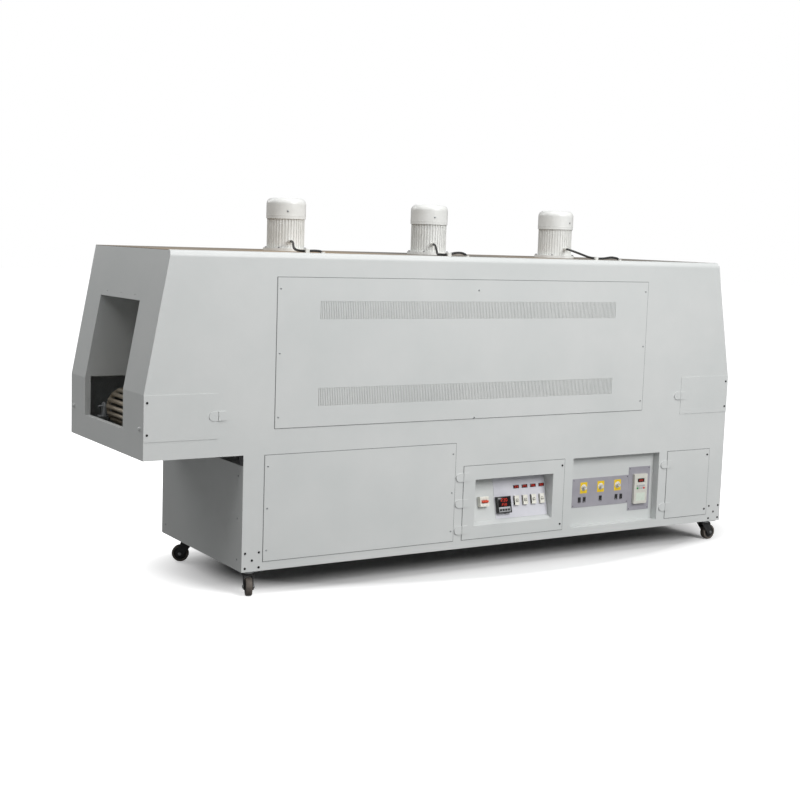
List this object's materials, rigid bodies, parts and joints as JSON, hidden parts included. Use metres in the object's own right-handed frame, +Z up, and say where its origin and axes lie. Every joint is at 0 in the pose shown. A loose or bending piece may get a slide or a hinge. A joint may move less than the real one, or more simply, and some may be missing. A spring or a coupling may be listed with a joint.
{
  "type": "conveyor reflow oven",
  "caption": "Floor-standing conveyor reflow oven: sheet-steel tunnel with a rod belt and fan motors on the roof, over a cabinet with doors and controls on swivel casters.",
  "frame": {"origin": "on the floor under the middle of the oven body", "axes": "+X along the conveyor towards the outfeed, +Y to the rear, +Z up"},
  "size_m": [3.1055, 0.8588, 1.62],
  "materials": {
    "white_paint": "satin powder coat",
    "grey_paint": "satin powder coat",
    "frame_steel": "matt paint",
    "bright_steel": "brushed",
    "zinc_steel": "zinc plated",
    "belt_rods": "drawn, heat tinted",
    "cast_grey": "painted casting",
    "motor_aluminium": "painted casting",
    "impeller": "pressed sheet",
    "black_screws": "black oxide",
    "black_plastic": "moulded",
    "grey_plastic": "moulded",
    "cream_plastic": "moulded",
    "red_plastic": "moulded",
    "white_plastic": "moulded",
    "plate_white": "coated sheet",
    "plate_grey": "coated sheet",
    "cable_black": "sheath",
    "black_steel": "black paint",
    "wheel_rubber": "solid tyre"
  },
  "bodies": {
    "oven": {"base_frame": "frame_steel", "front_skin": "white_paint", "rear_skin": "white_paint", "roof_sheet": "grey_paint", "infeed_hood": "white_paint", "outfeed_hood": "white_paint", "tunnel_floor": "zinc_steel", "cabinet_end_panel": "white_paint", "vent_panel": "white_paint", "lower_cover": "white_paint", "panel_screws": "black_screws", "oven_liner": "bright_steel", "heater_elements": "bright_steel", "conveyor_rails": "zinc_steel", "slat_belt": "belt_rods", "bearing_blocks": "cast_grey", "drive_gearmotor": "cast_grey", "inverter_niche": "white_paint", "niche_plates": "plate_grey", "inverter": "grey_plastic", "motor_bodies": "motor_aluminium", "motor_cowls": "white_paint", "motor_leads": "cable_black", "lead_fittings": "white_plastic", "hinge_leaves": "white_paint", "caster_plates": "zinc_steel"},
    "infeed_door": {"infeed_door": "white_paint"},
    "outfeed_door": {"outfeed_door": "white_paint"},
    "control_door": {"control_door": "white_paint", "control_plate": "plate_white", "panel_meters": "black_plastic", "breaker_bodies": "cream_plastic"},
    "service_door": {"service_door": "white_paint"},
    "blower_1": {"blower_1": "impeller"},
    "blower_2": {"blower_2": "impeller"},
    "blower_3": {"blower_3": "impeller"},
    "drive_shaft": {"drive_shaft": "bright_steel"},
    "idler_shaft": {"idler_shaft": "bright_steel"},
    "breaker_lever": {"breaker_lever": "red_plastic"},
    "heater_lever_1": {"heater_lever_1": "black_plastic"},
    "heater_lever_2": {"heater_lever_2": "black_plastic"},
    "heater_lever_3": {"heater_lever_3": "black_plastic"},
    "heater_lever_4": {"heater_lever_4": "black_plastic"},
    "fan_knob_1": {"fan_knob_1": "black_plastic"},
    "fan_knob_2": {"fan_knob_2": "black_plastic"},
    "fan_knob_3": {"fan_knob_3": "black_plastic"},
    "rocker_1": {"rocker_1": "black_plastic"},
    "rocker_2": {"rocker_2": "black_plastic"},
    "rocker_3": {"rocker_3": "black_plastic"},
    "rocker_4": {"rocker_4": "black_plastic"},
    "rocker_5": {"rocker_5": "black_plastic"},
    "caster_fork_1": {"caster_fork_1": "black_steel"},
    "caster_wheel_1": {"caster_wheel_1": "wheel_rubber"},
    "brake_pedal": {"brake_pedal": "white_plastic"},
    "caster_fork_2": {"caster_fork_2": "black_steel"},
    "caster_wheel_2": {"caster_wheel_2": "wheel_rubber"},
    "caster_fork_3": {"caster_fork_3": "black_steel"},
    "caster_wheel_3": {"caster_wheel_3": "wheel_rubber"},
    "caster_fork_4": {"caster_fork_4": "black_steel"},
    "caster_wheel_4": {"caster_wheel_4": "wheel_rubber"}
  },
  "joints": [
    {"name": "infeed_door_hinge", "type": "hinge", "parent": "oven", "child": "infeed_door", "pos_m": [-1.229, -0.421, 0.7475], "axis": [0, 0, 1], "range_deg": [0, 110]},
    {"name": "outfeed_door_hinge", "type": "hinge", "parent": "oven", "child": "outfeed_door", "pos_m": [1.229, -0.421, 0.7475], "axis": [0, 0, -1], "range_deg": [0, 110]},
    {"name": "control_door_hinge", "type": "hinge", "parent": "oven", "child": "control_door", "pos_m": [-0.042, -0.421, 0.3085], "axis": [0, 0, -1], "range_deg": [0, 110]},
    {"name": "service_door_hinge", "type": "hinge", "parent": "oven", "child": "service_door", "pos_m": [1.166, -0.421, 0.3085], "axis": [0, 0, -1], "range_deg": [0, 110]},
    {"name": "blower_1_spin", "type": "hinge", "parent": "oven", "child": "blower_1", "pos_m": [-0.737, 0, 1.395], "axis": [0, 0, 1], "continuous": true},
    {"name": "blower_2_spin", "type": "hinge", "parent": "oven", "child": "blower_2", "pos_m": [0, 0, 1.395], "axis": [0, 0, 1], "continuous": true},
    {"name": "blower_3_spin", "type": "hinge", "parent": "oven", "child": "blower_3", "pos_m": [0.737, 0, 1.395], "axis": [0, 0, 1], "continuous": true},
    {"name": "drive_shaft_spin", "type": "hinge", "parent": "oven", "child": "drive_shaft", "pos_m": [1.382, 0.022, 0.717], "axis": [0, 1, 0], "continuous": true},
    {"name": "idler_shaft_spin", "type": "hinge", "parent": "oven", "child": "idler_shaft", "pos_m": [-1.382, 0.022, 0.717], "axis": [0, 1, 0], "continuous": true},
    {"name": "breaker_lever_turn", "type": "hinge", "parent": "control_door", "child": "breaker_lever", "pos_m": [0.097, -0.38317, 0.29994], "axis": [1, 0, 0], "range_deg": [-30, 30]},
    {"name": "heater_lever_1_turn", "type": "hinge", "parent": "control_door", "child": "heater_lever_1", "pos_m": [0.285, -0.3794, 0.29187], "axis": [1, 0, 0], "range_deg": [-25, 25]},
    {"name": "heater_lever_2_turn", "type": "hinge", "parent": "control_door", "child": "heater_lever_2", "pos_m": [0.3333, -0.3794, 0.29187], "axis": [1, 0, 0], "range_deg": [-25, 25]},
    {"name": "heater_lever_3_turn", "type": "hinge", "parent": "control_door", "child": "heater_lever_3", "pos_m": [0.3816, -0.3794, 0.29187], "axis": [1, 0, 0], "range_deg": [-25, 25]},
    {"name": "heater_lever_4_turn", "type": "hinge", "parent": "control_door", "child": "heater_lever_4", "pos_m": [0.4299, -0.3794, 0.29187], "axis": [1, 0, 0], "range_deg": [-25, 25]},
    {"name": "fan_knob_1_turn", "type": "hinge", "parent": "oven", "child": "fan_knob_1", "pos_m": [0.679, -0.378, 0.323], "axis": [0, -1, 0], "range_deg": [-135, 135]},
    {"name": "fan_knob_2_turn", "type": "hinge", "parent": "oven", "child": "fan_knob_2", "pos_m": [0.7835, -0.378, 0.323], "axis": [0, -1, 0], "range_deg": [-135, 135]},
    {"name": "fan_knob_3_turn", "type": "hinge", "parent": "oven", "child": "fan_knob_3", "pos_m": [0.888, -0.378, 0.323], "axis": [0, -1, 0], "range_deg": [-135, 135]},
    {"name": "rocker_1_rock", "type": "hinge", "parent": "oven", "child": "rocker_1", "pos_m": [0.655, -0.3705, 0.265], "axis": [1, 0, 0], "range_deg": [0, 9]},
    {"name": "rocker_2_rock", "type": "hinge", "parent": "oven", "child": "rocker_2", "pos_m": [0.685, -0.3705, 0.265], "axis": [1, 0, 0], "range_deg": [0, 9]},
    {"name": "rocker_3_rock", "type": "hinge", "parent": "oven", "child": "rocker_3", "pos_m": [0.7835, -0.3705, 0.265], "axis": [1, 0, 0], "range_deg": [0, 9]},
    {"name": "rocker_4_rock", "type": "hinge", "parent": "oven", "child": "rocker_4", "pos_m": [0.882, -0.3705, 0.265], "axis": [1, 0, 0], "range_deg": [0, 9]},
    {"name": "rocker_5_rock", "type": "hinge", "parent": "oven", "child": "rocker_5", "pos_m": [0.912, -0.3705, 0.265], "axis": [1, 0, 0], "range_deg": [0, 9]},
    {"name": "caster_swivel_1", "type": "hinge", "parent": "oven", "child": "caster_fork_1", "pos_m": [-1.062, -0.364, 0.105], "axis": [0, 0, 1], "continuous": true},
    {"name": "caster_roll_1", "type": "hinge", "parent": "caster_fork_1", "child": "caster_wheel_1", "pos_m": [-1.07226, -0.39219, 0.0375], "axis": [0.9397, -0.342, 0], "continuous": true},
    {"name": "brake_pedal_press", "type": "hinge", "parent": "caster_fork_1", "child": "brake_pedal", "pos_m": [-1.0516, -0.33543, 0.0866], "axis": [-0.9397, 0.342, 0], "range_deg": [0, 15]},
    {"name": "caster_swivel_2", "type": "hinge", "parent": "oven", "child": "caster_fork_2", "pos_m": [1.487, -0.364, 0.105], "axis": [0, 0, 1], "continuous": true},
    {"name": "caster_roll_2", "type": "hinge", "parent": "caster_fork_2", "child": "caster_wheel_2", "pos_m": [1.517, -0.364, 0.0375], "axis": [0, 1, 0], "continuous": true},
    {"name": "caster_swivel_3", "type": "hinge", "parent": "oven", "child": "caster_fork_3", "pos_m": [-1.062, 0.256, 0.105], "axis": [0, 0, 1], "continuous": true},
    {"name": "caster_roll_3", "type": "hinge", "parent": "caster_fork_3", "child": "caster_wheel_3", "pos_m": [-1.08744, 0.2719, 0.0375], "axis": [-0.5299, -0.848, 0], "continuous": true},
    {"name": "caster_swivel_4", "type": "hinge", "parent": "oven", "child": "caster_fork_4", "pos_m": [1.487, 0.256, 0.105], "axis": [0, 0, 1], "continuous": true},
    {"name": "caster_roll_4", "type": "hinge", "parent": "caster_fork_4", "child": "caster_wheel_4", "pos_m": [1.50998, 0.27528, 0.0375], "axis": [-0.6428, 0.766, 0], "continuous": true}
  ],
  "couplings": [
    {"joint": "idler_shaft_spin", "follows": "drive_shaft_spin", "ratio": 1}
  ]
}
